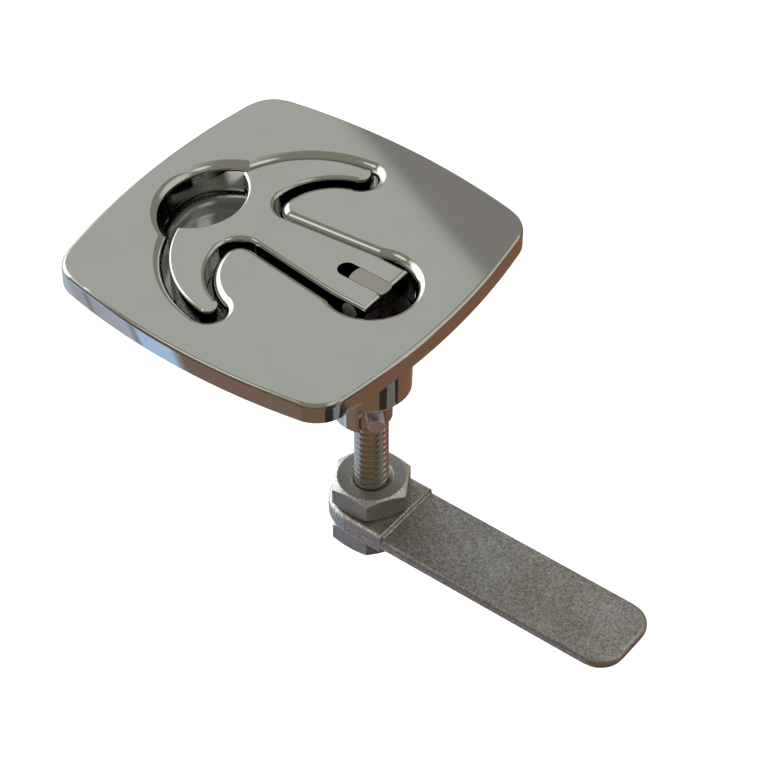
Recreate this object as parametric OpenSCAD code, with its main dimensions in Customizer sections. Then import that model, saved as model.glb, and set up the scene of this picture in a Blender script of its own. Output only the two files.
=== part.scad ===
// Flush boat hatch latch with an anchor-shaped lift handle.
// Lifting the anchor lets the spindle drop and frees the cam arm below the deck.
// Millimetres, +Z up. Origin: middle of the flange's underside, which seats on the hatch.

/* [Flange] */
// Width of the square flange across the middle of its bowed sides
plate_w = 82.5; // [78:0.5:92]
// Thickness of the flange
plate_t = 5; // [4:0.25:7]
// Radius of each bowed side
side_bow_r = 165; // [140:1:240]
// Radius of the flange's corners
corner_r = 8.4; // [6:0.2:11]
// Rounding of the flange's upper edge
plate_round = 1; // [0.4:0.1:1.6]
// Rounding of the rim of the anchor-shaped recess
rim_round = 2.6; // [1:0.1:2.8]

/* [Anchor handle] */
// Thickness of the handle
handle_t = 6; // [5:0.25:7]
// Height of the handle's top above the flange
handle_proud = 0.5; // [0:0.1:1]
// Rounding of the handle's upper edges
handle_round = 1; // [0.3:0.1:1.2]
// Radius of the outside of each anchor arm
arm_out_r = 25; // [24:0.25:26]
// Difference between the outer and the inner radius of each anchor arm
arm_band = 8.7; // [8.4:0.1:9.2]
// Radius of the tip of each anchor arm
tip_r = 2.1; // [1.9:0.05:2.3]
// Radius of the crotch between arm and shank
crotch_r = 5.6; // [5:0.1:6.2]
// Width of the shank where it leaves the crown
shank_root_w = 10.2; // [9:0.2:11]
// Width of the shank at the pivot
shank_pivot_w = 15.3; // [14:0.1:16]
// Radius of the finger cut in the crown
finger_cut_r = 12.8; // [11.5:0.1:13.5]
// Gap between the anchor's arms and the recess
arm_gap = 1.5; // [1:0.1:1.8]
// Gap between the anchor's shank and the recess
shank_gap = 1.1; // [0.8:0.1:1.5]
// Gap under the handle
floor_gap = 0.5; // [0.3:0.1:1]

/* [Finger bowl] */
// Radius of the finger bowl at the rim
bowl_r = 15.2; // [14:0.1:16]
// Depth of the finger bowl below the flange's top
bowl_depth = 11; // [9:0.5:14]
// Rounding between the bowl's wall and floor
bowl_fillet = 4; // [2:0.25:5]

/* [Pot and boss] */
// Distance of the spindle's axis from the middle of the flange
spindle_x = 21.2; // [20:0.1:22]
// Radius of the pot round the pivot
pot_r = 9.9; // [9.5:0.1:10.5]
// Wall of the casting round the recess, bowl and pot
cast_wall = 2; // [1.5:0.1:2.5]
// Radius of the boss where it leaves the pot
boss_top_r = 9.8; // [9.4:0.1:10.4]
// Radius of the boss at its lower end
boss_low_r = 9; // [8.8:0.1:9.8]
// Depth of the boss below the flange
boss_depth = 32.5; // [30:0.5:36]
// Height of the stop notch in the boss
notch_h = 7.6; // [7:0.2:9]
// Half of the angle that the stop notch takes up
notch_half_angle = 70; // [64:1:80]
// Wall of the boss round the spring, at the lower end
spring_wall = 1.8; // [1.6:0.1:2]
// Depth of the spindle's guide bore below the pot's floor
guide_depth = 7; // [6:0.5:9]

/* [Spindle] */
// Diameter of the spindle's barrel
barrel_d = 9.7; // [9.3:0.1:10]
// Thickness of the tongue between its flats
tongue_t = 4.2; // [3.6:0.1:4.8]
// Depth of the barrel's lower end below the flange
barrel_depth = 35.6; // [34.5:0.1:38]
// Diameter of the threaded rod
rod_d = 8; // [7:0.1:8.6]
// Depth of the rod's end below the flange
rod_depth = 74.5; // [74:0.5:84]
// Diameter of the pivot pin
pivot_d = 4; // [3:0.1:4.4]
// Depth of the pivot below the handle's top
pivot_drop = 3; // [2.8:0.1:3.4]
// Diameter of the stop pin
stop_pin_d = 4; // [3:0.1:4.4]
// Reach of the stop pin from the spindle's axis
stop_pin_reach = 9.4; // [9:0.1:10]
// Depth of the stop pin below the flange
stop_pin_depth = 30; // [29.6:0.1:30.6]
// Rest angle of the stop pin, from the arm's direction
stop_pin_angle = -45; // [-48:1:-42]

/* [Heel and spring] */
// Radius of the eccentric heel of the handle
heel_r = 5.8; // [5.5:0.05:6]
// Offset of the heel's centre from the pivot
heel_offset = 2.12; // [1.8:0.02:2.3]
// Width across the heel's two lobes
heel_w = 12; // [10:0.2:12.4]
// Length of the handle beyond the pivot
heel_end = 4.2; // [3.6:0.1:4.4]
// Thickness of the wear washer under the heel
heel_washer_t = 1; // [0.6:0.1:1.5]
// Wire diameter of the return spring
wire_d = 1.2; // [0.8:0.1:1.3]
// Turns of the return spring
spring_turns = 5; // [4:0.5:7]
// Thickness of the washer under the spring
spring_seat_t = 1; // [0.8:0.1:1.4]
// Cord diameter of the spindle's o-ring
o_ring_d = 1.8; // [1.4:0.1:2]
// Depth of the o-ring below the pot's floor
o_ring_depth = 2.4; // [2:0.1:3.5]

/* [Cam arm and nuts] */
// Width of the cam arm
arm_w = 20; // [17:0.5:22]
// Length of the cam arm from the rod's axis to its end
arm_len = 72.7; // [60:0.5:85]
// Thickness of the arm's blade
arm_t = 3; // [2.6:0.1:3.6]
// Thickness of the arm's hub
hub_t = 5.4; // [5:0.1:6.4]
// Length of the hub's pads from the rod's axis to the step
hub_len = 9.9; // [9.4:0.1:12]
// Radius of the corners at the arm's end
arm_corner_r = 6; // [3:0.25:8]
// Rounding of the edges of the arm's blade and hub
arm_round = 1.2; // [0.5:0.1:1.2]
// Rounding of the upper edge of the hub's step
step_round = 0.6; // [0.2:0.1:0.6]
// Depth of the hub's top below the flange
hub_depth = 61.2; // [59:0.2:61.2]
// Width of the nuts across their flats
nut_af = 17; // [15:0.25:19]
// Height of each nut
nut_h = 6.2; // [5:0.1:6.4]
// Inset of each nut's round end face from its flats
nut_inset = 0.5; // [0.2:0.1:1]
// Depth of the countersink of each nut
nut_sink = 1.2; // [0.6:0.1:1.6]

/* [Fixing screws] */
// Spacing of the four tapped bosses behind the flange
screw_pitch = 52; // [51:0.25:54]
// Diameter of each tapped boss
screw_boss_d = 9; // [8:0.25:9.5]
// Height of each tapped boss below the flange
screw_boss_h = 7; // [5:0.25:9]
// Diameter of the tapped hole
screw_hole_d = 4.2; // [3.3:0.1:5]

/* [Fits] */
// Radial clearance of running and sliding fits
run_fit = 0.05; // [0.03:0.01:0.08]
// Radial clearance of pins that are pressed home
pin_fit = 0.02; // [0.01:0.01:0.03]
// Clearance between faces that rub
rub_gap = 0.3; // [0.2:0.05:0.4]
// Clearance on each side of the tongue in the handle's slot
slot_gap = 0.1; // [0.05:0.01:0.2]

/* [Hidden] */
$fn = 96;
// A cut runs this far past the face that it opens.
over = 1;
// Longer than any piece, for cuts and clips
reach = 200;
// A rounding meets its two faces at a slight angle: its arc lies this share of its radius further out.
bite = 0.02;
// Arcs that would only touch are moved by this much, so that they cross.
touch = 0.03;
// Past a corner, an edge's rounding runs on by this angle.
run_on = 3;
// A corner's rounding is larger than its neighbours' by this much.
corner_extra = 0.2;
// The fill of a crotch reaches this share of its radius past its centre.
crotch_fill = 1.5;

// Anchor: centres of the arcs of the arm on the +Y side, and the ends of the shank's tapered edge
arm_out_x = 0.54;
arm_out_y = 4.23;
arm_in_x = 3.8;
arm_in_y = 9.55;
shank_root_x = -6.5;
arm_out_c = [arm_out_x, arm_out_y];
arm_in_c = [arm_in_x, arm_in_y];
arm_in_r = arm_out_r - arm_band;
shank_root = [shank_root_x, shank_root_w / 2];
taper_end = 4.6;
shank_end = [spindle_x - taper_end, shank_pivot_w / 2];
// The shank's outline starts this far inside the crown.
shank_start = 8;
shank_u = (shank_end - shank_root) / norm(shank_end - shank_root);
shank_n = [-shank_u.y, shank_u.x];
// Places from the end of the anchor's crown: centres of the finger cut and the bowl, and the straight
// wall that ends the bowl under the crown
crown_x = arm_out_x - arm_out_r;
cut_out = 5.04;
bowl_in = 5.76;
bowl_end_in = 11.96;
finger_cut_x = crown_x - cut_out;
bowl_x = crown_x + bowl_in;
bowl_end_x = crown_x + bowl_end_in;

// Heights
handle_top = plate_t + handle_proud;
handle_low = handle_top - handle_t;
tray_floor = handle_low - floor_gap;
bowl_floor = plate_t - bowl_depth;
pivot_z = handle_top - pivot_drop;
heel_c = [-heel_offset * cos(45), -heel_offset * sin(45)];
washer_top = pivot_z + heel_c.y - heel_r - rub_gap;
pot_floor = washer_top - heel_washer_t;
pot_low = pot_floor - cast_wall - rub_gap;
guide_low = pot_floor - guide_depth;
flat_low = washer_top - rub_gap;
stop_pin_z = -stop_pin_depth;
seat_low = stop_pin_z + stop_pin_d / 2 + run_fit;
seat_top = seat_low + spring_seat_t;
hub_top = -hub_depth;
hub_low = hub_top - hub_t;
arm_mid = hub_top - hub_t / 2;
blade_top = arm_mid + arm_t / 2;
step_h = hub_top - blade_top;
o_ring_z = pot_floor - o_ring_depth;

// Radii
barrel_r = barrel_d / 2;
rod_r = rod_d / 2;
guide_r = barrel_r + run_fit;
chamber_r = boss_low_r - spring_wall;
spring_r = (barrel_r + chamber_r) / 2;
slot_w = tongue_t + 2 * slot_gap;
slot_len = 8.6;
handle_end_x = spindle_x + heel_end;

// Unit vector from one point to another
function unit(p, q) = (q - p) / norm(q - p);
// Direction of a vector, from 0 to 360 degrees
function heading(v) = (atan2(v.y, v.x) + 360) % 360;
// Where two circles meet, on the left of the line between their centres
function circles_meet(c, r, d, s) =
    let (l = norm(d - c), u = unit(c, d), a = (l * l + r * r - s * s) / (2 * l), h = sqrt(r * r - a * a))
    c + a * u + h * [-u.y, u.x];
// Where a line through p along u first enters a circle
function line_meets(p, u, c, r) =
    let (w = p - c, b = w * u)
    p + u * (-b - sqrt(b * b - w * w + r * r));

// The arm's tip and crotch, for an anchor grown by g at the arms and by s at the shank
tip_c = circles_meet(arm_out_c, arm_out_r - tip_r, arm_in_c, arm_in_r + tip_r);
function crotch_c(g, s) =
    line_meets(shank_root + (s + crotch_r - g) * shank_n, shank_u, arm_in_c, arm_in_r - crotch_r);
function tip_out(g) = arm_out_c + (arm_out_r + g) * unit(arm_out_c, tip_c);
function tip_in(g) = arm_in_c + (arm_in_r - g) * unit(arm_in_c, tip_c);
function crotch_arm(g, s) = arm_in_c + (arm_in_r - g) * unit(arm_in_c, crotch_c(g, s));
function crotch_shank(g, s) = crotch_c(g, s) - (crotch_r - g) * shank_n;

module at(p, r) {
    translate(p)
        circle(r);
}

// One arm with its crotch, on the +Y side
module arm_area(g, s) {
    cc = crotch_c(g, s);
    to_arm = crotch_fill * (crotch_arm(g, s) - cc);
    to_shank = crotch_fill * (crotch_shank(g, s) - cc);
    intersection() {
        difference() {
            at(arm_out_c, arm_out_r + g);
            at(arm_in_c, arm_in_r - g);
        }
        polygon([[-reach, -over], [cc.x, -over], cc, tip_in(g), tip_c,
                 arm_out_c + reach * unit(arm_out_c, tip_c), [-reach, reach]]);
    }
    at(tip_c, tip_r + g + touch);
    difference() {
        polygon([cc, cc + to_arm, cc + to_arm + to_shank, cc + to_shank]);
        at(cc, crotch_r - g + touch);
    }
}

// The anchor with its tapered shank, grown by g at the arms and by s at the shank, which runs on past
// the end of its taper by extra
module anchor_area(g, s, extra) {
    low = shank_root - shank_start * shank_u + s * shank_n;
    high = shank_end + extra * shank_u + s * shank_n;
    for (m = [0, 1])
        mirror([0, m, 0])
            arm_area(g, s);
    polygon([[low.x, -low.y], [high.x, -high.y], high, low]);
}

// Rounds an edge that runs along an arc, from angle a to angle b. Side 1 takes the rounding outside
// the arc, side -1 inside it.
module round_arc(c, r, a, b, f, side, top) {
    inset = (1 - bite) * f;
    translate([c.x, c.y, top])
        rotate([0, 0, a])
            rotate_extrude(angle = b - a)
                difference() {
                    translate([side > 0 ? r - over : r - f, -f])
                        square(f + over);
                    translate([r + side * inset, -inset])
                        circle(f);
                }
}

// Rounds an arc between two other rounded edges. It runs over their ends and is a little larger, so that
// no cut ends on the face of another.
module round_corner(c, r, a, b, f, side, top) {
    round_arc(c, r, a - run_on, b + run_on, f + corner_extra, side, top);
}

// Rounds a straight edge from p to q, on its left
module round_line(p, q, f, top) {
    inset = (1 - bite) * f;
    translate([p.x, p.y, top])
        rotate([90, 0, heading(q - p) + 90])
            linear_extrude(norm(q - p))
                difference() {
                    translate([-over, -f])
                        square(f + over);
                    translate([inset, -inset])
                        circle(f);
                }
}

module plate_area() {
    half = plate_w / 2;
    bow_c = side_bow_r - half;
    cc = corner_c();
    difference() {
        intersection_for (k = [0:3])
            rotate(90 * k)
                at([-bow_c, 0], side_bow_r);
        for (k = [0:3])
            rotate(90 * k)
                difference() {
                    polygon([cc, cc + reach * unit([-bow_c, 0], cc), cc + [reach, reach],
                             cc + reach * unit([0, -bow_c], cc)]);
                    at(cc + [touch, touch], corner_r);
                }
    }
}

// Centre of a flange corner, which touches two bowed sides
function corner_c() =
    let (b = side_bow_r - plate_w / 2, d = side_bow_r - corner_r, x = (sqrt(2 * d * d - b * b) - b) / 2)
    [x, x];

module plate_edge() {
    bow_c = side_bow_r - plate_w / 2;
    cc = corner_c();
    side_angle = heading(cc - [-bow_c, 0]);
    for (k = [0:3])
        rotate(90 * k) {
            round_arc([-bow_c, 0], side_bow_r, -side_angle, side_angle, plate_round, -1, plate_t);
            round_corner(cc, corner_r, side_angle, 90 - side_angle, plate_round, -1, plate_t);
        }
}

module bowl_solid(r, floor_z, f, top) {
    translate([bowl_x, 0, 0])
        rotate_extrude() {
            translate([0, floor_z])
                square([r - f, top - floor_z]);
            translate([0, floor_z + f])
                square([r, top - floor_z - f]);
            translate([r - f, floor_z + f])
                circle(f);
        }
}

module left_of(x) {
    intersection() {
        children();
        translate([x - reach, -reach / 2, -reach / 2])
            cube(reach);
    }
}

module stop_notch() {
    wall = reach * [cos(notch_half_angle), sin(notch_half_angle)];
    translate([spindle_x, 0, -boss_depth - over])
        linear_extrude(notch_h + over)
            polygon([[0, 0], [wall.x, -wall.y], [reach, -wall.y], [reach, wall.y], wall]);
}

module screw_places() {
    for (x = [-1, 1], y = [-1, 1])
        translate([x * screw_pitch / 2, y * screw_pitch / 2, 0])
            children();
}

// Rim of the recess: each arm, the shank's edges, the pot and the bowl
module recess_rim() {
    g = arm_gap;
    s = shank_gap;
    bowl_c = [bowl_x, 0];
    pot_c = [spindle_x, 0];
    cc = crotch_c(g, s);
    bowl_cusp = circles_meet(bowl_c, bowl_r, arm_out_c, arm_out_r + g);
    pot_cusp = line_meets(shank_root + s * shank_n, shank_u, pot_c, pot_r);
    bowl_angle = heading(bowl_cusp - bowl_c);
    pot_angle = heading(pot_cusp - pot_c) + run_on;
    out_tip = heading(tip_c - arm_out_c);
    in_crotch = heading(cc - arm_in_c);
    for (m = [0, 1])
        mirror([0, m, 0]) {
            round_arc(arm_out_c, arm_out_r + g, out_tip, heading(bowl_cusp - arm_out_c) + run_on,
                      rim_round, 1, plate_t);
            round_corner(tip_c, tip_r + g, heading(arm_in_c - tip_c) - 360, out_tip, rim_round, 1, plate_t);
            round_arc(arm_in_c, arm_in_r - g, heading(tip_c - arm_in_c), in_crotch, rim_round, -1, plate_t);
            round_corner(cc, crotch_r - g, in_crotch, heading(-shank_n), rim_round, -1, plate_t);
            round_line(crotch_shank(g, s), pot_cusp + over * shank_u, rim_round, plate_t);
        }
    round_arc(pot_c, pot_r, -pot_angle, pot_angle, rim_round, 1, plate_t);
    round_arc(bowl_c, bowl_r, bowl_angle - run_on, 360 - bowl_angle + run_on, rim_round, 1, plate_t);
}

// The recess for the anchor, with its finger bowl and the pot round the pivot
module recess() {
    translate([0, 0, tray_floor])
        linear_extrude(plate_t - tray_floor + over)
            anchor_area(arm_gap, shank_gap, taper_end);
    left_of(bowl_end_x)
        bowl_solid(bowl_r, bowl_floor, bowl_fillet, plate_t + over);
    translate([spindle_x, 0, pot_floor])
        cylinder(r = pot_r, h = plate_t - pot_floor + over);
    recess_rim();
}

module latch_body() {
    color("silver")
        difference() {
            union() {
                linear_extrude(plate_t)
                    plate_area();
                translate([0, 0, tray_floor - cast_wall])
                    linear_extrude(plate_t - over - tray_floor + cast_wall)
                        anchor_area(arm_gap + cast_wall, shank_gap + cast_wall, taper_end);
                left_of(bowl_end_x + cast_wall)
                    bowl_solid(bowl_r + cast_wall, bowl_floor - cast_wall, bowl_fillet + cast_wall,
                               plate_t - over);
                translate([spindle_x, 0, pot_low])
                    cylinder(r = pot_r + cast_wall, h = plate_t - over - pot_low);
                translate([spindle_x, 0, -boss_depth])
                    cylinder(r1 = boss_low_r, r2 = boss_top_r, h = boss_depth);
                screw_places()
                    translate([0, 0, -screw_boss_h])
                        cylinder(d = screw_boss_d, h = screw_boss_h + plate_t / 2);
            }
            recess();
            translate([spindle_x, 0, guide_low - over])
                cylinder(r = guide_r, h = pot_floor - guide_low + 2 * over);
            translate([spindle_x, 0, -boss_depth - over])
                cylinder(r = chamber_r, h = boss_depth + guide_low + over);
            stop_notch();
            screw_places()
                translate([0, 0, -screw_boss_h - over])
                    cylinder(d = screw_hole_d, h = screw_boss_h + plate_t / 2 + over);
            plate_edge();
        }
}

// Upper edges of the handle: each arm, the shank, the finger cut and the end
module handle_edges() {
    cc = crotch_c(0, 0);
    cut_c = [finger_cut_x, 0];
    cut_cusp = circles_meet(cut_c, finger_cut_r, arm_out_c, arm_out_r);
    cut_angle = heading(cut_cusp - cut_c) + run_on;
    out_tip = heading(tip_c - arm_out_c);
    in_crotch = heading(cc - arm_in_c);
    f = handle_round;
    for (m = [0, 1])
        mirror([0, m, 0]) {
            round_arc(arm_out_c, arm_out_r, out_tip, heading(cut_cusp - arm_out_c) + run_on, f, -1,
                      handle_top);
            round_arc(tip_c, tip_r, heading(arm_in_c - tip_c) - 360, out_tip, f, -1, handle_top);
            round_arc(arm_in_c, arm_in_r, heading(tip_c - arm_in_c), in_crotch, f, 1, handle_top);
            round_corner(cc, crotch_r, in_crotch, heading(-shank_n), f, 1, handle_top);
            round_line(shank_end, crotch_shank(0, 0), f, handle_top);
            round_line([handle_end_x + over, shank_end.y], shank_end, f, handle_top);
        }
    round_arc(cut_c, finger_cut_r, -cut_angle, cut_angle, f, 1, handle_top);
    round_line([handle_end_x, -shank_pivot_w], [handle_end_x, shank_pivot_w], f, handle_top);
}

module anchor_handle() {
    color("gainsboro")
        difference() {
            union() {
                translate([0, 0, handle_low])
                    linear_extrude(handle_t) {
                        anchor_area(0, 0, 0);
                        translate([shank_end.x, -shank_end.y])
                            square([handle_end_x - shank_end.x, shank_pivot_w]);
                    }
                intersection() {
                    translate([spindle_x + heel_c.x, heel_w / 2, pivot_z + heel_c.y])
                        rotate([90, 0, 0])
                            cylinder(r = heel_r, h = heel_w);
                    translate([0, -plate_w / 2, handle_low - plate_w])
                        cube([handle_end_x, plate_w, plate_w + handle_t / 2]);
                }
            }
            translate([0, 0, handle_low - over])
                linear_extrude(handle_t + 2 * over)
                    at([finger_cut_x, 0], finger_cut_r);
            translate([spindle_x, 0, handle_low - plate_w])
                linear_extrude(2 * plate_w) {
                    translate([slot_w / 2 - slot_len, -slot_w / 2])
                        square([plate_w, slot_w]);
                    at([slot_w / 2 - slot_len, 0], slot_w / 2);
                }
            pivot_hole(pin_fit);
            handle_edges();
        }
}

module pivot_hole(fit) {
    translate([spindle_x, plate_w / 2, pivot_z])
        rotate([90, 0, 0])
            cylinder(r = pivot_d / 2 + fit, h = plate_w);
}

module pivot_pin() {
    color("lightgray")
        translate([spindle_x, shank_pivot_w / 2, pivot_z])
            rotate([90, 0, 0])
                cylinder(r = pivot_d / 2, h = shank_pivot_w);
}

module spindle() {
    cone_h = barrel_r - rod_r;
    groove_h = o_ring_d + 2 * slot_gap;
    color("silver")
        difference() {
            translate([spindle_x, 0, 0])
                rotate_extrude()
                    polygon([[0, -rod_depth], [rod_r - over, -rod_depth], [rod_r, over - rod_depth],
                             [rod_r, -barrel_depth], [barrel_r, cone_h - barrel_depth],
                             [barrel_r, handle_top], [0, handle_top]]);
            for (m = [0, 1])
                mirror([0, m, 0])
                    translate([spindle_x - barrel_d, tongue_t / 2, flat_low])
                        cube([2 * barrel_d, barrel_d, handle_top - flat_low + over]);
            translate([spindle_x, 0, o_ring_z - groove_h / 2])
                rotate_extrude()
                    translate([guide_r - o_ring_d, 0])
                        square([o_ring_d + over, groove_h]);
            pivot_hole(run_fit);
            stop_pin_shape(pin_fit, barrel_r + over);
        }
}

// The stop pin lies across the spindle, with one end far out.
module stop_pin_shape(fit, back) {
    translate([spindle_x, 0, stop_pin_z])
        rotate([0, 90, stop_pin_angle])
            translate([0, 0, -back])
                cylinder(r = stop_pin_d / 2 + fit, h = back + stop_pin_reach);
}

module stop_pin() {
    color("lightgray")
        stop_pin_shape(0, barrel_r - rub_gap);
}

// Points of one ring of the spring's wire, at a share t of its length
function wire_ring(t, sides, low, rise) =
    let (a = 360 * spring_turns * t)
    [for (k = [0:sides - 1])
        let (b = -360 * k / sides, r = spring_r + wire_d / 2 * cos(b))
        [r * cos(a), r * sin(a), low + rise * t + wire_d / 2 * sin(b)]];

module return_spring() {
    sides = 8;
    rings = 20 * spring_turns;
    low = seat_top + wire_d / 2 + run_fit;
    rise = guide_low - run_fit - wire_d / 2 - low;
    points = [for (i = [0:rings]) each wire_ring(i / rings, sides, low, rise)];
    walls = [for (i = [0:rings - 1], k = [0:sides - 1])
        let (n = (k + 1) % sides)
        [i * sides + k, i * sides + n, (i + 1) * sides + n, (i + 1) * sides + k]];
    ends = [[for (k = [sides - 1:-1:0]) k], [for (k = [0:sides - 1]) rings * sides + k]];
    color("darkgray")
        translate([spindle_x, 0, 0])
            polyhedron(points, concat(walls, ends));
}

module washer(inner, outer, low, t) {
    translate([spindle_x, 0, low])
        linear_extrude(t)
            difference() {
                circle(outer);
                circle(inner);
            }
}

module spring_seat() {
    color("gray")
        washer(guide_r, chamber_r - rub_gap, seat_low, spring_seat_t);
}

module heel_washer() {
    color("dimgray")
        washer(guide_r + slot_gap, pot_r - rub_gap, pot_floor, heel_washer_t);
}

module spindle_o_ring() {
    color("black")
        translate([spindle_x, 0, o_ring_z])
            rotate_extrude()
                translate([guide_r - o_ring_d / 2 - pin_fit, 0])
                    circle(o_ring_d / 2 - pin_fit);
}

module blade_area() {
    corner = [arm_len - arm_corner_r, arm_w / 2 - arm_corner_r];
    circle(arm_w / 2);
    translate([0, -arm_w / 2])
        square([corner.x, arm_w]);
    translate([0, -corner.y])
        square([arm_len, 2 * corner.y]);
    for (m = [-1, 1])
        at([corner.x, m * corner.y], arm_corner_r);
}

module blade_edges() {
    corner = [arm_len - arm_corner_r, arm_w / 2 - arm_corner_r];
    for (m = [0, 1])
        mirror([0, m, 0]) {
            round_line([corner.x, arm_w / 2], [hub_len, arm_w / 2], arm_round, blade_top);
            round_corner(corner, arm_corner_r, 0, 90, arm_round, -1, blade_top);
        }
    round_line([arm_len, -corner.y], [arm_len, corner.y], arm_round, blade_top);
}

module hub_edges() {
    for (m = [0, 1])
        mirror([0, m, 0])
            round_line([hub_len + over, arm_w / 2], [0, arm_w / 2], arm_round, hub_top);
    round_corner([0, 0], arm_w / 2, 90, 270, arm_round, -1, hub_top);
    round_line([hub_len, -arm_w], [hub_len, arm_w], step_round, hub_top);
}

// Hollow fillet between the blade and the hub's step, up to the rounding of the step's edge
module step_fillet() {
    hollow = step_h - step_round;
    translate([hub_len, arm_w / 2, blade_top])
        rotate([90, 0, 0])
            linear_extrude(arm_w)
                difference() {
                    square(hollow);
                    translate([hollow, hollow])
                        circle(hollow);
                }
}

// The upper and the lower face of the arm are alike.
module both_faces() {
    children();
    translate([0, 0, 2 * arm_mid])
        mirror([0, 0, 1])
            children();
}

module cam_arm() {
    color("dimgray")
        translate([spindle_x, 0, 0])
            difference() {
                union() {
                    difference() {
                        union() {
                            translate([0, 0, arm_mid - arm_t / 2])
                                linear_extrude(arm_t)
                                    blade_area();
                            both_faces()
                                step_fillet();
                        }
                        both_faces()
                            blade_edges();
                    }
                    difference() {
                        translate([0, 0, hub_low])
                            linear_extrude(hub_t) {
                                circle(arm_w / 2);
                                translate([0, -arm_w / 2])
                                    square([hub_len, arm_w]);
                            }
                        both_faces()
                            hub_edges();
                    }
                }
                translate([0, 0, hub_low - over])
                    cylinder(r = rod_r + run_fit, h = hub_t + 2 * over);
            }
}

// A hexagon nut with round chamfers at both ends and a countersunk bore
module nut(low) {
    corner = nut_af / 2 / cos(30);
    land = nut_af / 2 - nut_inset;
    drop = (corner - land) * tan(30);
    bore = rod_r + run_fit;
    translate([spindle_x, 0, low])
        difference() {
            intersection() {
                cylinder(r = corner, h = nut_h, $fn = 6);
                rotate_extrude()
                    polygon([[0, 0], [land, 0], [corner, drop], [corner, nut_h - drop], [land, nut_h],
                             [0, nut_h]]);
            }
            translate([0, 0, -over])
                cylinder(r = bore, h = nut_h + 2 * over);
            translate([0, 0, nut_h - nut_sink])
                cylinder(r1 = bore, r2 = bore + 2 * nut_sink, h = 2 * nut_sink);
        }
}

module upper_nut() {
    color("gray")
        nut(hub_top);
}

module lower_nut() {
    color("gray")
        nut(hub_low - nut_h);
}

latch_body();
anchor_handle();
pivot_pin();
spindle();
stop_pin();
return_spring();
spring_seat();
heel_washer();
spindle_o_ring();
cam_arm();
upper_nut();
lower_nut();
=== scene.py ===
import math

import bmesh
import bpy
from mathutils import Matrix, Vector
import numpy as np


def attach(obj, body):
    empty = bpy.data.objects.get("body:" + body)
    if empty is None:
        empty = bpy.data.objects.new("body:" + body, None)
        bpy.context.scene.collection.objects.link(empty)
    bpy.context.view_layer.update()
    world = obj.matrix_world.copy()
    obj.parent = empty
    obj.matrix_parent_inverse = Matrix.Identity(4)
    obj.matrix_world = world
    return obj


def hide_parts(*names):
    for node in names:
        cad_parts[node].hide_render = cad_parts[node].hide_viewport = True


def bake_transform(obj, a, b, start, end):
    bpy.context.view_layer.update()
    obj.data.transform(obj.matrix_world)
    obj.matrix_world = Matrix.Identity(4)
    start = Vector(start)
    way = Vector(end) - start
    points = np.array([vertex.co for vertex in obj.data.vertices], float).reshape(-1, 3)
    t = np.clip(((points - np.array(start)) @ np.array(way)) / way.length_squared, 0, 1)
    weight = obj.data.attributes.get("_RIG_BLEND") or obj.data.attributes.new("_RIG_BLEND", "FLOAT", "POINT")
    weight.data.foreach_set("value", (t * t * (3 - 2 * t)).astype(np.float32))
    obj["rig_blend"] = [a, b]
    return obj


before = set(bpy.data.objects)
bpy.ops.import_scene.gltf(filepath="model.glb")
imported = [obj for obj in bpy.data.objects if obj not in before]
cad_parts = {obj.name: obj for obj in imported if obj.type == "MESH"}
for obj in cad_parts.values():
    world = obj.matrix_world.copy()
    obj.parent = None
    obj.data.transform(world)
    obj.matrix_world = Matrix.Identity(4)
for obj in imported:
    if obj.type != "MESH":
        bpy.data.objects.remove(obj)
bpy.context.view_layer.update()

MM = 0.001

# Sizes in millimetres that the solids have too
SPINDLE_X = 21.2
RECESS_FLOOR = -1.0
HUB_LEN = 9.9
PIVOT_Z = 2.5
PIVOT_R = 2.0
PIVOT_LEN = 15.3
STOP_PIN_Z = -30.0
STOP_PIN_R = 2.0
STOP_PIN_ANGLE = -45.0
STOP_PIN_BACK = 4.55
STOP_PIN_REACH = 9.4
BARREL_LOW = -35.6
ROD_R = 4.0
ROD_LOW = -74.5
ROD_CHAMFER = 1.0
SPRING_R = 6.025
SPRING_WIRE_R = 0.6
SPRING_TOP = -13.1
SPRING_SEAT = -26.95
SPRING_TURNS = 5

# Sizes in millimetres of what only the scene has
HANDLE_EASE = 0.6
PIVOT_CHAMFER = 0.25
STOP_PIN_CHAMFER = 0.45
SPRING_GAP = 0.05
THREAD_PITCH = 1.84
THREAD_DEPTH = 0.27
THREAD_OVERLAP = 0.05
MARK_DEPTH = 0.05

# One flank of the thread's tooth, from its root up, and its crest, as shares of the pitch and the depth
THREAD_FLANK = [(0.0, 0.0), (0.06, 0.22), (0.14, 0.55), (0.24, 0.82), (0.36, 0.96)]
THREAD_CREST = (0.5, 1.0)

# How finely round pieces are divided
PIN_SIDES = 64
THREAD_STEPS = 40
WIRE_SIDES = 14
COIL_STEPS = 36

# Limits in millimetres for choosing parts of the solids
RECESS_LOWEST = -6.3
BOWL_FLOOR_TOP = -5.9
RECESS_SHADE_TOP = 2.9
EASE_END = -1.6

# Limits of a face's normal: along Z for level and sloping faces, and along X for the arm's step
LEVEL_NORMAL = 0.99
SLOPE_LEAST = 0.3
SLOPE_MOST = 0.97
STEP_NORMAL = 0.2

# Heights in millimetres between which the painted shade in the bowl's corner grows dark
CORNER_SHADE_TOP = -4.0
CORNER_SHADE_LOW = -5.2

# Distances in millimetres within which points are one, heights level, or something on the floor or a cut
MERGE = 0.0005
THREAD_MERGE = 0.01
LEVEL = 0.002
ON_FLOOR = 0.01
ON_CUT = 0.0001

# Angles in degrees: below the first, faces are one flat face, and above the others an edge is sharp
FLAT_ANGLE = 0.2
SHARP_ANGLE = 32.0
NUT_SHARP_ANGLE = 20.0
THREAD_SHARP_ANGLE = 50.0
WIRE_SHARP_ANGLE = 60.0
HANDLE_EDGE_ANGLE = 80.0

# Range in which most of a noise's values lie
NOISE_LOW, NOISE_HIGH = 0.3, 0.7
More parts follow.
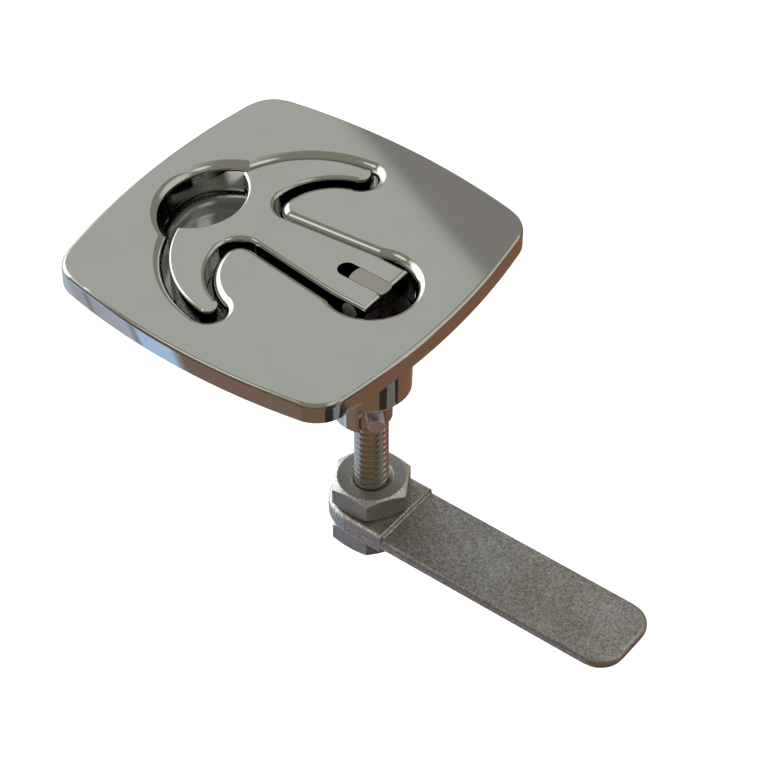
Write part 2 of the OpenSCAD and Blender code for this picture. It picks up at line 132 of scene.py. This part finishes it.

# Attribute of the recess below its rim, which is made satin and darkened with painted shade
RECESS_SATIN_AND_SHADE = "recess_satin_and_painted_shade"
# Attribute of the edges where a casting is worn or cut bare, whose bright colour is partly a painted
# highlight
BARE_AND_HIGHLIGHT = "bare_metal_and_highlight"

# Sockets that are known by number: a Mix node's for colours, and a Vector Math node's two vectors
SHARE, COLOR_A, COLOR_B, MIXED = 0, 6, 7, 2
VECTOR_A, VECTOR_B = 0, 1

# Camera, in millimetres: where it stands, and the directions of its right, its top and its back
CAMERA_AT = (306.27, -369.96, 436.03)
CAMERA_RIGHT = (0.7958, 0.6055, 0.0)
CAMERA_UP = (-0.4257, 0.5594, 0.7112)
CAMERA_BACK = (0.4306, -0.5660, 0.7030)
CAMERA_LENS = 138.12
CAMERA_SENSOR = 36.0
CAMERA_NEAR = 10.0
CAMERA_FAR = 50000.0

# Floor, in millimetres
FLOOR_Z = -300.0
FLOOR_SIZE = 40000.0

# Overhead light: the direction to it, its strength, and how wide it is in degrees
SUN_FROM = (-0.35, -0.2, 0.9)
SUN_LIGHT = 2.9
SUN_WIDTH = 40.0

# Brightness of the room that the steel mirrors
ROOM_LIGHT = 2.0
# Direction across the edge between the room's two walls, and their colours along it
WALL_EDGE = (0.3507, 0.7934, -0.4975)
WALLS = [(0.0, "#6e6b62"), (0.05, "#6e6b62"), (0.38, "#939591"), (0.4955, "#939591"), (0.4995, "#6f6c6a"),
         (0.6, "#6f6c6a"), (0.7, "#6e6b62")]
# The dark front of the room, from the bench up
FRONT = [(0.0, "#1c1a19"), (0.1, "#23211f"), (0.28, "#6c6860"), (0.9, "#6e6b62")]
# Bright panels: the direction to the middle, the cosines at the outer and the inner edge, and the colour
PANELS = [((-0.927, 0.032, 0.375), 0.81, 0.935, "#ffffff"),
          ((0.719, 0.569, 0.399), 0.829, 0.951, "#a5a29c"),
          ((-0.420, -0.470, 0.777), 0.9744, 0.9945, "#c6c4bd"),
          ((0.665, -0.070, 0.743), 0.9703, 0.9962, "#c2c0ba"),
          ((0.860, 0.487, -0.152), 0.9945, 0.9994, "#ffffff")]
# What upright faces mirror of the bench below, once round from -X through -Y
BENCH = [(0.0, "#8b98a8"), (0.061, "#959ca8"), (0.063, "#8a8b96"), (0.0765, "#8a8a94"), (0.0775, "#6c6e74"),
         (0.0785, "#6c6e74"), (0.0795, "#8a8a94"), (0.107, "#8f97a8"), (0.109, "#6c727e"),
         (0.1105, "#6c727e"), (0.112, "#8fa8c7"), (0.136, "#93abca"), (0.137, "#67544b"),
         (0.207, "#67544b"), (0.215, "#614c3b"),
         (0.416, "#614c3b"), (0.42, "#292421"), (0.482, "#292421"), (0.486, "#64503f"), (0.498, "#6c6a70"),
         (0.532, "#6c6a70"), (0.546, "#5c483a"), (0.55, "#292421"), (0.58, "#292421"), (0.586, "#644a3c"),
         (0.75, "#684a3a"), (0.86, "#7d7f86"), (1.0, "#8b98a8")]


# Looks

def linear(code):
    """An sRGB hex colour as linear RGBA."""
    parts = [int(code[i:i + 2], 16) / 255 for i in (1, 3, 5)]
    return [c / 12.92 if c <= 0.04045 else ((c + 0.055) / 1.055) ** 2.4 for c in parts] + [1.0]


def plug(tree, node, sockets):
    """Sets a node's sockets, each to a value or by a link from another node's socket."""
    for key, value in sockets.items():
        if isinstance(value, bpy.types.NodeSocket):
            tree.links.new(value, node.inputs[key])
        else:
            node.inputs[key].default_value = value


def add(tree, kind, sockets=None, stops=(), **settings):
    """Adds a node with its settings and sockets. A colour ramp's stops are places with sRGB colours."""
    node = tree.nodes.new(kind)
    for key, value in settings.items():
        setattr(node, key, value)
    plug(tree, node, sockets or {})
    elements = node.color_ramp.elements if stops else ()
    while len(elements) < len(stops):
        elements.new(1.0)
    for element, (place, code) in zip(elements, stops):
        element.position = place
        element.color = linear(code)
    return node


def new_material(name):
    """A new material, with its node tree, its shader and the coordinates that its patterns follow."""
    material = bpy.data.materials.new(name)
    material.use_nodes = True
    tree = material.node_tree
    place = add(tree, "ShaderNodeTexCoord").outputs["Object"]
    return material, tree, tree.nodes["Principled BSDF"], place


def scale_of(size):
    """The scale of a noise whose blotches are about so many millimetres across."""
    return 1.0 / (size * MM)


def mottled(tree, place, size, first, second, detail=2.0):
    """A colour that drifts between two, in blotches of a size in millimetres."""
    blotches = add(tree, "ShaderNodeTexNoise", {"Vector": place, "Scale": scale_of(size), "Detail": detail})
    color = add(tree, "ShaderNodeValToRGB", {"Fac": blotches.outputs["Fac"]},
                [(NOISE_LOW, first), (NOISE_HIGH, second)])
    return color.outputs["Color"]


def polished_stainless():
    # Stainless steel, cast and mirror-polished by hand: clear reflections with a faint cloudiness. Below the
    # recess's rim it is satin, and its colour is darkened with painted shade, darkest in the bowl's corner.
    material, tree, shader, place = new_material("polished_stainless")
    # Painted shade: below the rim the recess takes a darker colour, as well as a satin roughness.
    satin_and_shade = add(tree, "ShaderNodeAttribute", attribute_name=RECESS_SATIN_AND_SHADE).outputs["Fac"]
    bright = mottled(tree, place, size=9.0, first="#c6c7c1", second="#cacbc6", detail=3.0)
    dull = mottled(tree, place, size=1.6, first="#9c9ea2", second="#a8a9aa", detail=3.0)
    # Painted shade, deeper towards the bowl's corner.
    height = add(tree, "ShaderNodeSeparateXYZ", {"Vector": place}).outputs["Z"]
    depth = add(tree, "ShaderNodeMapRange",
                {"Value": height, "From Min": CORNER_SHADE_TOP * MM, "From Max": CORNER_SHADE_LOW * MM})
    recess = add(tree, "ShaderNodeMix",
                 {SHARE: depth.outputs["Result"], COLOR_A: dull, COLOR_B: linear("#74777a")},
                 data_type="RGBA")
    color = add(tree, "ShaderNodeMix",
                {SHARE: satin_and_shade, COLOR_A: bright, COLOR_B: recess.outputs[MIXED]}, data_type="RGBA")
    haze = add(tree, "ShaderNodeMapRange", {"Value": satin_and_shade, "To Min": 0.025, "To Max": 0.16})
    plug(tree, shader, {"Base Color": color.outputs[MIXED], "Roughness": haze.outputs["Result"],
                        "Metallic": 1.0})
    return material


def turned_stainless():
    # Stainless steel bar, turned and buffed: bright bands and fine turning marks
    material, tree, shader, place = new_material("turned_stainless")
    color = mottled(tree, place, size=2.0, first="#c0bbb3", second="#c5c0b9", detail=3.0)
    buffing = add(tree, "ShaderNodeTexNoise", {"Vector": place, "Scale": scale_of(0.8), "Detail": 3.0})
    haze = add(tree, "ShaderNodeMapRange",
               {"Value": buffing.outputs["Fac"], "From Min": NOISE_LOW, "From Max": NOISE_HIGH,
                "To Min": 0.2, "To Max": 0.22})
    # Real turning marks are finer than a pixel, so they are drawn 0.25 mm apart.
    stretched = add(tree, "ShaderNodeMapping", {"Vector": place, "Scale": (0.05, 0.05, 1.0)})
    turning = add(tree, "ShaderNodeTexNoise",
                  {"Vector": stretched.outputs["Vector"], "Scale": scale_of(0.25)})
    marks = add(tree, "ShaderNodeBump",
                {"Height": turning.outputs["Fac"], "Strength": 0.02, "Distance": MARK_DEPTH * MM})
    plug(tree, shader, {"Base Color": color, "Roughness": haze.outputs["Result"],
                        "Normal": marks.outputs["Normal"], "Metallic": 1.0})
    return material


def ground_stainless():
    # Stainless dowel pin, centreless ground: pale satin with fine scratches, and no clear reflections
    material, tree, shader, place = new_material("ground_stainless")
    color = mottled(tree, place, size=0.7, first="#e4e0ec", second="#f0ecf5")
    grinding = add(tree, "ShaderNodeTexNoise", {"Vector": place, "Scale": scale_of(0.2)}).outputs["Fac"]
    scratches = add(tree, "ShaderNodeBump",
                    {"Height": grinding, "Strength": 0.1, "Distance": MARK_DEPTH * MM})
    plug(tree, shader, {"Base Color": color, "Roughness": 0.55, "Normal": scratches.outputs["Normal"],
                        "Metallic": 1.0})
    return material


def cast_stainless(name, dark, light, grit_size, pit_depth):
    # Cast arm or forged nut in stainless, tumbled and left with its skin: dull warm grey with a fine
    # sparkling grit. Edges that tumbling or a tool has laid bare are bright, partly as bare metal and partly
    # as a painted highlight.
    material, tree, shader, place = new_material(name)
    bare_and_highlight = add(tree, "ShaderNodeAttribute", attribute_name=BARE_AND_HIGHLIGHT).outputs["Fac"]
    grit = add(tree, "ShaderNodeTexNoise", {"Vector": place, "Scale": scale_of(grit_size), "Detail": 3.0,
                                            "Roughness": 0.7}).outputs["Fac"]
    speckle = add(tree, "ShaderNodeValToRGB", {"Fac": grit}, [(0.32, dark), (0.62, light), (0.75, "#f2efe8")])
    shade = mottled(tree, place, size=14.0, first="#e6e2da", second="#ffffff")
    skin = add(tree, "ShaderNodeMix", {SHARE: 1.0, COLOR_A: speckle.outputs["Color"], COLOR_B: shade},
               data_type="RGBA", blend_type="MULTIPLY")
    # Bare metal on the edges, its white partly a painted highlight.
    bare = add(tree, "ShaderNodeValToRGB", {"Fac": grit},
               [(0.32, "#b4b1aa"), (0.52, "#dedcd6"), (0.62, "#ffffff")])
    color = add(tree, "ShaderNodeMix",
                {SHARE: bare_and_highlight, COLOR_A: skin.outputs[MIXED], COLOR_B: bare.outputs["Color"]},
                data_type="RGBA")
    haze = add(tree, "ShaderNodeMapRange",
               {"Value": grit, "From Min": 0.3, "From Max": 0.75, "To Min": 0.55, "To Max": 0.32})
    pits = add(tree, "ShaderNodeBump", {"Height": grit, "Strength": 0.5, "Distance": pit_depth * MM})
    plug(tree, shader, {"Base Color": color.outputs[MIXED], "Roughness": haze.outputs["Result"],
                        "Normal": pits.outputs["Normal"], "Metallic": 1.0})
    return material


def spring_wire():
    # Hard-drawn stainless spring wire: bright, with a faint mottling from the die
    material, tree, shader, place = new_material("drawn_spring_wire")
    color = mottled(tree, place, size=0.4, first="#9a9a98", second="#b4b4b2")
    plug(tree, shader, {"Base Color": color, "Roughness": 0.25, "Metallic": 1.0})
    return material


def soft_black(name, tint, rough, bump):
    # Black acetal or nitrile: moulded, satin, with a little tool texture
    material, tree, shader, place = new_material(name)
    color = mottled(tree, place, size=0.6, first=tint, second="#1d1818")
    mould = add(tree, "ShaderNodeTexNoise", {"Vector": place, "Scale": scale_of(0.25)}).outputs["Fac"]
    texture = add(tree, "ShaderNodeBump", {"Height": mould, "Strength": bump, "Distance": MARK_DEPTH * MM})
    plug(tree, shader, {"Base Color": color, "Roughness": rough, "Normal": texture.outputs["Normal"]})
    return material


def white_board():
    # Painted board, matt: almost white, with a trace of unevenness
    material, tree, shader, place = new_material("matt_white_board")
    color = mottled(tree, place, size=60.0, first="#f2f2f1", second="#f6f6f5")
    plug(tree, shader, {"Base Color": color, "Roughness": 0.9})
    return material


POLISHED = polished_stainless()
TURNED = turned_stainless()
GROUND = ground_stainless()
ARM_CAST = cast_stainless("tumbled_cast_stainless", "#8c8a87", "#d2d1cf", grit_size=0.55, pit_depth=0.15)
NUT_CAST = cast_stainless("forged_nut_stainless", "#9a9d9b", "#c2c6c4", grit_size=0.35, pit_depth=0.04)
WIRE = spring_wire()
# The acetal's maroon tint is a painted reflection of the maroon cast in the pot it lies in.
ACETAL = soft_black("black_acetal", "#2e1f25", rough=0.45, bump=0.1)
NITRILE = soft_black("nitrile_rubber", "#0c0c0c", rough=0.6, bump=0.2)


# Ways of making a piece

def finish_piece(bm, name, body, material, replaced=(), sharp=SHARP_ANGLE):
    """Makes a mesh object of a bmesh, shaded smooth up to a sharp angle, that rides on a CAD body."""
    mesh = bpy.data.meshes.new(name)
    bm.to_mesh(mesh)
    bm.free()
    for attribute in [a for a in mesh.attributes if a.name == "custom_normal"]:
        mesh.attributes.remove(attribute)
    mesh.materials.clear()
    mesh.materials.append(material)
    mesh.polygons.foreach_set("material_index", [0] * len(mesh.polygons))
    mesh.shade_smooth()
    mesh.set_sharp_from_angle(angle=math.radians(sharp))
    piece = bpy.data.objects.new(name, mesh)
    bpy.context.scene.collection.objects.link(piece)
    weights = piece.modifiers.new("face weights", "WEIGHTED_NORMAL")
    weights.mode = "FACE_AREA"
    weights.weight = 100
    weights.keep_sharp = True
    if body:
        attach(piece, body)
    if replaced:
        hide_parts(*replaced)
    return piece


def solid_of(node):
    """A merged copy of a CAD node's mesh, with each flat face in as few pieces as can be."""
    bm = bmesh.new()
    bm.from_mesh(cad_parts[node].data)
    bmesh.ops.remove_doubles(bm, verts=bm.verts, dist=MERGE * MM)
    bmesh.ops.dissolve_limit(bm, angle_limit=math.radians(FLAT_ANGLE), use_dissolve_boundaries=False,
                             verts=bm.verts, edges=bm.edges)
    return bm


def mark(bm, kind, name, choose):
    """Adds an attribute that is 1 on the verts or faces that a function chooses, and 0 on the others."""
    layer = getattr(bm, kind).layers.float.new(name)
    for part in choose(bm):
        part[layer] = 1.0
    return bm


def cut_off(bm, z, keep_above):
    """Cuts a bmesh at a height in millimetres and closes the cut."""
    geometry = list(bm.verts) + list(bm.edges) + list(bm.faces)
    bmesh.ops.bisect_plane(bm, geom=geometry, dist=ON_CUT * MM, plane_co=(0, 0, z * MM), plane_no=(0, 0, 1),
                           clear_inner=keep_above, clear_outer=not keep_above)
    rim = [e for e in bm.edges if e.is_boundary]
    bmesh.ops.holes_fill(bm, edges=rim, sides=0)


def dowel(radius, length, chamfer):
    """A chamfered pin along +Z from the origin, in millimetres."""
    bm = bmesh.new()
    bmesh.ops.create_cone(bm, cap_ends=True, segments=PIN_SIDES, radius1=radius * MM, radius2=radius * MM,
                          depth=length * MM)
    rims = [e for e in bm.edges if abs(e.verts[0].co.z - e.verts[1].co.z) < LEVEL * MM]
    bmesh.ops.bevel(bm, geom=rims, offset=chamfer * MM, offset_type="OFFSET", segments=2, profile=0.5,
                    affect="EDGES", material=-1)
    bmesh.ops.translate(bm, verts=bm.verts, vec=(0, 0, length / 2 * MM))
    return bm


def lay(bm, place, turn=Matrix.Identity(4)):
    """Turns a bmesh and sets it at a place in millimetres."""
    bmesh.ops.transform(bm, matrix=Matrix.Translation(Vector(place) * MM) @ turn, verts=bm.verts)
    return bm


# Parts of the solids that look different

def recess_verts(bm):
    """The vertices of the recess below its rounded rim, reached from its floor, without the bowl's floor."""
    floors = [f for f in bm.faces if f.normal.z > LEVEL_NORMAL
              and abs(f.calc_center_median().z - RECESS_FLOOR * MM) < ON_FLOOR * MM]
    found = {max(floors, key=lambda f: f.calc_area())}
    todo = list(found)
    while todo:
        near = {face for edge in todo.pop().edges for face in edge.link_faces} - found
        inside = [f for f in near if RECESS_LOWEST * MM < f.calc_center_median().z < RECESS_SHADE_TOP * MM]
        found.update(inside)
        todo.extend(inside)
    return {v for face in found for v in face.verts if BOWL_FLOOR_TOP * MM < v.co.z < RECESS_SHADE_TOP * MM}


def sloping_faces(bm):
    """The faces that are neither upright nor level: a nut's chamfers and its countersink."""
    return [f for f in bm.faces if SLOPE_LEAST < abs(f.normal.z) < SLOPE_MOST]


def arm_rim_faces(bm):
    """The rounded edges of the arm's hub, without the step that faces +X."""
    hub_end = (SPINDLE_X + HUB_LEN) * MM
    return [f for f in sloping_faces(bm) if f.normal.x < STEP_NORMAL and f.calc_center_median().x < hub_end]


# Pieces that differ from their solids

def eased_handle():
    """The handle, with the sharp upper edge round its crown eased, as a polishing wheel leaves it."""
    bm = solid_of("anchor_handle")
    top = max(v.co.z for v in bm.verts)
    edges = [e for e in bm.edges if e.calc_face_angle() > math.radians(HANDLE_EDGE_ANGLE)
             and all(v.co.z > top - LEVEL * MM and v.co.x < EASE_END * MM for v in e.verts)]
    bmesh.ops.bevel(bm, geom=edges, offset=HANDLE_EASE * MM, offset_type="OFFSET", segments=5, profile=0.5,
                    affect="EDGES", material=-1)
    bmesh.ops.remove_doubles(bm, verts=bm.verts, dist=MERGE * MM)
    return bm


def pivot_pin():
    """The cross pin, along Y through the handle's shank."""
    across = Matrix.Rotation(math.radians(90), 4, "X")
    return lay(dowel(PIVOT_R, PIVOT_LEN, PIVOT_CHAMFER), (SPINDLE_X, PIVOT_LEN / 2, PIVOT_Z), across)


def stop_pin():
    """The stop pin, level through the barrel, longer on the side of the boss's notch."""
    swing = Matrix.Rotation(math.radians(STOP_PIN_ANGLE), 4, "Z")
    start = Vector((SPINDLE_X, 0, STOP_PIN_Z)) - swing @ Vector((STOP_PIN_BACK, 0, 0))
    pin = dowel(STOP_PIN_R, STOP_PIN_BACK + STOP_PIN_REACH, STOP_PIN_CHAMFER)
    return lay(pin, start, swing @ Matrix.Rotation(math.radians(90), 4, "Y"))


def barrel():
    """The spindle down to its barrel's lower end, where the thread takes over."""
    bm = solid_of("spindle")
    cut_off(bm, BARREL_LOW, True)
    return bm


def thread():
    """The rod's rounded thread: one tooth's profile, spun up along a helix, and cut flat at both ends."""
    bm = bmesh.new()
    far_flank = [(1 - share, depth) for share, depth in reversed(THREAD_FLANK)]
    tooth = THREAD_FLANK + [THREAD_CREST] + far_flank
    root = ROD_R - THREAD_DEPTH
    low = ROD_LOW - THREAD_PITCH
    verts = [bm.verts.new(((root + THREAD_DEPTH * depth) * MM, 0, (low + THREAD_PITCH * share) * MM))
             for share, depth in tooth]
    edges = [bm.edges.new(pair) for pair in zip(verts, verts[1:])]
    turns = math.ceil((BARREL_LOW - ROD_LOW) / THREAD_PITCH) + 2
    bmesh.ops.spin(bm, geom=verts + edges, cent=(0, 0, 0), axis=(0, 0, 1),
                   dvec=(0, 0, THREAD_PITCH / THREAD_STEPS * MM), angle=2 * math.pi * turns,
                   steps=THREAD_STEPS * turns)
    bmesh.ops.remove_doubles(bm, verts=bm.verts, dist=THREAD_MERGE * MM)
    cut_off(bm, ROD_LOW, True)
    cut_off(bm, BARREL_LOW + THREAD_OVERLAP, False)
    bmesh.ops.recalc_face_normals(bm, faces=bm.faces)
    # The rod's end narrows by its chamfer.
    for vert in bm.verts:
        limit = (ROD_R - ROD_CHAMFER - ROD_LOW) * MM + vert.co.z
        if vert.co.xy.length > limit:
            vert.co.xy = vert.co.xy.normalized() * limit
    return lay(bm, (SPINDLE_X, 0, 0))


def coil():
    """The return spring: a ring of wire spun along a helix, closed at both ends."""
    bm = bmesh.new()
    low = SPRING_SEAT + SPRING_WIRE_R + SPRING_GAP
    rise = SPRING_TOP - SPRING_WIRE_R - SPRING_GAP - low
    ring = bmesh.ops.create_circle(bm, cap_ends=True, segments=WIRE_SIDES, radius=SPRING_WIRE_R * MM)["verts"]
    upright = Matrix.Rotation(math.radians(90), 4, "X")
    bmesh.ops.transform(bm, matrix=Matrix.Translation((SPRING_R * MM, 0, low * MM)) @ upright, verts=ring)
    steps = COIL_STEPS * SPRING_TURNS
    bmesh.ops.spin(bm, geom=list(bm.faces), cent=(0, 0, 0), axis=(0, 0, 1), dvec=(0, 0, rise / steps * MM),
                   angle=2 * math.pi * SPRING_TURNS, steps=steps, use_duplicate=False)
    bmesh.ops.recalc_face_normals(bm, faces=bm.faces)
    return lay(bm, (SPINDLE_X, 0, 0))


# Pieces

# The recess below the rim is marked for its satin roughness and its painted shade.
flange = mark(solid_of("latch_body"), "verts", RECESS_SATIN_AND_SHADE, recess_verts)
finish_piece(flange, "recessed_flange", "latch", POLISHED, ["latch_body"])
finish_piece(eased_handle(), "anchor_lift_handle", "handle", POLISHED, ["anchor_handle"])
finish_piece(pivot_pin(), "pivot_cross_pin", "handle", GROUND, ["pivot_pin"])
finish_piece(stop_pin(), "stop_dowel", "spindle", GROUND, ["stop_pin"])
finish_piece(barrel(), "spindle_barrel", "spindle", TURNED, ["spindle"])
finish_piece(thread(), "rod_thread", "spindle", TURNED, sharp=THREAD_SHARP_ANGLE)

spring = finish_piece(coil(), "return_coil", None, WIRE, ["return_spring"], WIRE_SHARP_ANGLE)
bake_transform(spring, "latch", "spindle", start=(SPINDLE_X * MM, 0, SPRING_TOP * MM),
         end=(SPINDLE_X * MM, 0, SPRING_SEAT * MM))

finish_piece(solid_of("spring_seat"), "spring_seat_washer", "spindle", GROUND, ["spring_seat"])
finish_piece(solid_of("heel_washer"), "heel_wear_washer", "latch", ACETAL, ["heel_washer"])
finish_piece(solid_of("spindle_o_ring"), "spindle_seal", "spindle", NITRILE, ["spindle_o_ring"])

# The hub's rounded edges are painted bright, partly as worn bare metal and partly as a painted highlight.
arm = mark(solid_of("cam_arm"), "faces", BARE_AND_HIGHLIGHT, arm_rim_faces)
finish_piece(arm, "cam_arm_casting", "arm", ARM_CAST, ["cam_arm"])
for side in ("upper", "lower"):
    nut = mark(solid_of(side + "_nut"), "faces", BARE_AND_HIGHLIGHT, sloping_faces)
    finish_piece(nut, side + "_hex_nut", "nuts", NUT_CAST, [side + "_nut"], NUT_SHARP_ANGLE)


# Studio

def studio_room():
    """A room for the steel to mirror: two grey walls, a dark front, a brown bench below, and panels."""
    world = bpy.data.worlds.new("studio_room")
    bpy.context.scene.world = world
    world.use_nodes = True
    tree = world.node_tree
    way = add(tree, "ShaderNodeTexCoord").outputs["Generated"]
    axes = add(tree, "ShaderNodeSeparateXYZ", {"Vector": way}).outputs
    across = add(tree, "ShaderNodeVectorMath", {VECTOR_A: way, VECTOR_B: WALL_EDGE}, operation="DOT_PRODUCT")
    along = add(tree, "ShaderNodeMapRange",
                {"Value": across.outputs["Value"], "From Min": -0.5, "From Max": 0.5})
    walls = add(tree, "ShaderNodeValToRGB", {"Fac": along.outputs["Result"]}, WALLS).outputs["Color"]
    front = add(tree, "ShaderNodeValToRGB", {"Fac": axes["Z"]}, FRONT).outputs["Color"]
    to_back = add(tree, "ShaderNodeMapRange", {"Value": axes["Y"], "From Min": -0.4, "From Max": 0.3})
    upper = add(tree, "ShaderNodeMix", {SHARE: to_back.outputs["Result"], COLOR_A: front, COLOR_B: walls},
                data_type="RGBA").outputs[MIXED]
    around = add(tree, "ShaderNodeTexGradient", {"Vector": way}, gradient_type="RADIAL").outputs["Fac"]
    bench = add(tree, "ShaderNodeValToRGB", {"Fac": around}, BENCH).outputs["Color"]
    to_upper = add(tree, "ShaderNodeMapRange", {"Value": axes["Z"], "From Min": -0.05, "From Max": 0.0})
    room = add(tree, "ShaderNodeMix", {SHARE: to_upper.outputs["Result"], COLOR_A: bench, COLOR_B: upper},
               data_type="RGBA").outputs[MIXED]
    for middle, edge, full, code in PANELS:
        facing = add(tree, "ShaderNodeVectorMath", {VECTOR_A: way, VECTOR_B: middle}, operation="DOT_PRODUCT")
        share = add(tree, "ShaderNodeMapRange",
                    {"Value": facing.outputs["Value"], "From Min": edge, "From Max": full},
                    interpolation_type="SMOOTHSTEP").outputs["Result"]
        room = add(tree, "ShaderNodeMix", {SHARE: share, COLOR_A: room, COLOR_B: linear(code)},
                   data_type="RGBA").outputs[MIXED]
    plug(tree, tree.nodes["Background"], {"Color": room, "Strength": ROOM_LIGHT})


def pale_floor():
    """A wide white floor, well below the latch, that the steel doesn't mirror."""
    bm = bmesh.new()
    bmesh.ops.create_grid(bm, x_segments=1, y_segments=1, size=FLOOR_SIZE / 2 * MM)
    bmesh.ops.translate(bm, verts=bm.verts, vec=(0, 0, FLOOR_Z * MM))
    mesh = bpy.data.meshes.new("pale_floor")
    bm.to_mesh(mesh)
    bm.free()
    mesh.materials.append(white_board())
    floor = bpy.data.objects.new("pale_floor", mesh)
    floor.visible_glossy = False
    bpy.context.scene.collection.objects.link(floor)


def overhead_light():
    """A wide soft light from above, which the steel doesn't mirror."""
    sun = bpy.data.lights.new("overhead_soft_light", "SUN")
    sun.energy = SUN_LIGHT
    sun.angle = math.radians(SUN_WIDTH)
    lamp = bpy.data.objects.new("overhead_soft_light", sun)
    lamp.visible_glossy = False
    lamp.rotation_mode = "QUATERNION"
    lamp.rotation_quaternion = Vector(SUN_FROM).to_track_quat("Z", "Y")
    bpy.context.scene.collection.objects.link(lamp)


def photo_camera():
    """The camera where the photograph was taken from."""
    lens = bpy.data.cameras.new("photo_view")
    lens.lens = CAMERA_LENS
    lens.sensor_width = CAMERA_SENSOR
    lens.clip_start = CAMERA_NEAR * MM
    lens.clip_end = CAMERA_FAR * MM
    camera = bpy.data.objects.new("photo_view", lens)
    turn = Matrix((CAMERA_RIGHT, CAMERA_UP, CAMERA_BACK)).transposed().to_4x4()
    camera.matrix_world = Matrix.Translation(Vector(CAMERA_AT) * MM) @ turn
    bpy.context.scene.collection.objects.link(camera)
    bpy.context.scene.camera = camera


studio_room()
pale_floor()
overhead_light()
photo_camera()
bpy.context.scene.view_settings.view_transform = "Standard"

bpy.context.view_layer.update()
